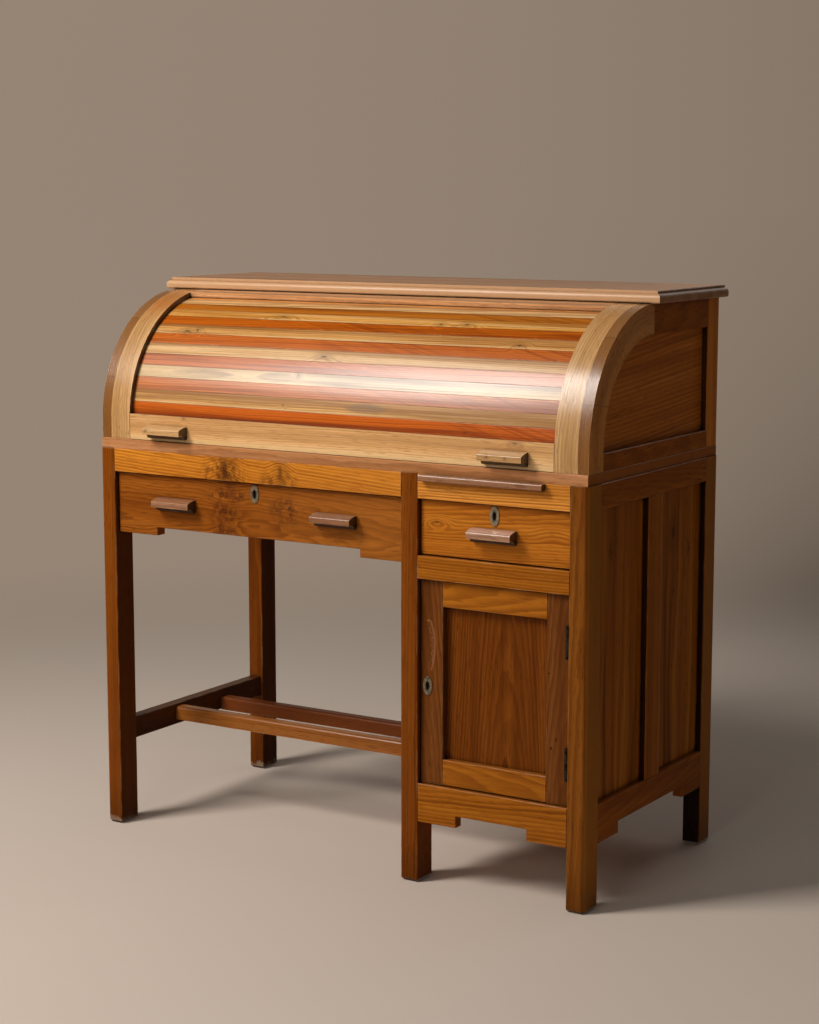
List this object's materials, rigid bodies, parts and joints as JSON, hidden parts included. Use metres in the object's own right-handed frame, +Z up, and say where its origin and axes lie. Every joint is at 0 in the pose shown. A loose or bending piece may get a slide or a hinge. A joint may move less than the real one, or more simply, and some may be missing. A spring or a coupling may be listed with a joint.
{
  "type": "cylinder desk",
  "caption": "Wooden cylinder desk: a kneehole base with drawers, writing slide and cupboard under a case closed by a turning coopered fall.",
  "frame": {"origin": "on the floor, under the middle of the whole desk", "axes": "+X to the sitter's right along the width, +Y from the front to the back, +Z up"},
  "size_m": [1.122, 0.562, 1.098],
  "materials": {
    "leg_teak": "varnished",
    "rail_teak": "varnished",
    "side_teak": "varnished",
    "drawer_teak": "varnished",
    "top_teak": "varnished",
    "light_teak": "varnished",
    "dark_stave": "varnished",
    "pull_wood": "polished",
    "inner_wood": "bare",
    "hardware_brass": "aged",
    "hardware_steel": "aged"
  },
  "bodies": {
    "frame": {"leg_front_left": "leg_teak", "leg_front_middle": "leg_teak", "leg_front_right": "leg_teak", "leg_rear_left": "leg_teak", "leg_rear_middle": "leg_teak", "leg_rear_right": "leg_teak", "knee_front_rail": "rail_teak", "pedestal_front_rail": "rail_teak", "pedestal_middle_rail": "rail_teak", "pedestal_apron": "rail_teak", "left_side_rail": "side_teak", "right_side_rails": "side_teak", "right_side_muntin": "side_teak", "right_side_panels": "side_teak", "inner_side_rails": "side_teak", "inner_side_muntin": "side_teak", "inner_side_panels": "side_teak", "back_rails": "side_teak", "pedestal_back_panel": "side_teak", "pedestal_floor": "inner_wood", "left_stretcher": "leg_teak", "front_foot_rail": "leg_teak", "rear_foot_rail": "leg_teak", "runners": "inner_wood", "writing_board": "rail_teak", "gable_stiles": "leg_teak", "gable_posts": "side_teak", "gable_rails": "side_teak", "gable_panels": "side_teak", "arch_bands": "light_teak", "head_rail": "light_teak", "upper_back_boards": "side_teak", "top_board": "top_teak", "pigeonholes": "inner_wood", "fall_pivots": "hardware_steel", "hinge_frame_leaves": "hardware_brass", "hinge_pins": "hardware_steel"},
    "fall": {"fall_dark_staves": "dark_stave", "fall_light_staves": "light_teak", "fall_bottom_rail": "light_teak", "fall_ribs": "inner_wood", "fall_pulls": "pull_wood"},
    "knee_drawer": {"knee_drawer_front": "drawer_teak", "knee_drawer_box": "inner_wood", "knee_drawer_pulls": "pull_wood", "knee_drawer_lock": "hardware_brass"},
    "knee_bolt": {"knee_drawer_bolt": "hardware_brass"},
    "pedestal_drawer": {"pedestal_drawer_front": "drawer_teak", "pedestal_drawer_box": "inner_wood", "pedestal_drawer_pulls": "pull_wood", "pedestal_drawer_lock": "hardware_brass"},
    "pedestal_bolt": {"pedestal_drawer_bolt": "hardware_brass"},
    "slide": {"writing_slide": "inner_wood", "writing_slide_lip": "light_teak"},
    "door": {"door_stiles": "drawer_teak", "door_rails": "drawer_teak", "door_panel": "drawer_teak", "door_lock": "hardware_brass", "hinge_door_leaves": "hardware_brass"},
    "cupboard_bolt": {"door_bolt": "hardware_brass"}
  },
  "joints": [
    {"name": "fall_turn", "type": "hinge", "parent": "frame", "child": "fall", "pos_m": [0, -0.005, 0.825], "axis": [-1, 0, 0], "range_deg": [0, 72]},
    {"name": "knee_drawer_slide", "type": "slide", "parent": "frame", "child": "knee_drawer", "axis": [0, -1, 0], "range_m": [0, 0.3]},
    {"name": "pedestal_drawer_slide", "type": "slide", "parent": "frame", "child": "pedestal_drawer", "axis": [0, -1, 0], "range_m": [0, 0.3]},
    {"name": "writing_slide_draw", "type": "slide", "parent": "frame", "child": "slide", "axis": [0, -1, 0], "range_m": [0, 0.25]},
    {"name": "door_swing", "type": "hinge", "parent": "frame", "child": "door", "pos_m": [0.5057, -0.2553, 0.3835], "axis": [0, 0, 1], "range_deg": [0, 110]},
    {"name": "knee_bolt_throw", "type": "slide", "parent": "knee_drawer", "child": "knee_bolt", "axis": [0, 0, 1], "range_m": [0, 0.008]},
    {"name": "pedestal_bolt_throw", "type": "slide", "parent": "pedestal_drawer", "child": "pedestal_bolt", "axis": [0, 0, 1], "range_m": [0, 0.008]},
    {"name": "cupboard_bolt_throw", "type": "slide", "parent": "door", "child": "cupboard_bolt", "axis": [-1, 0, 0], "range_m": [0, 0.008]}
  ]
}
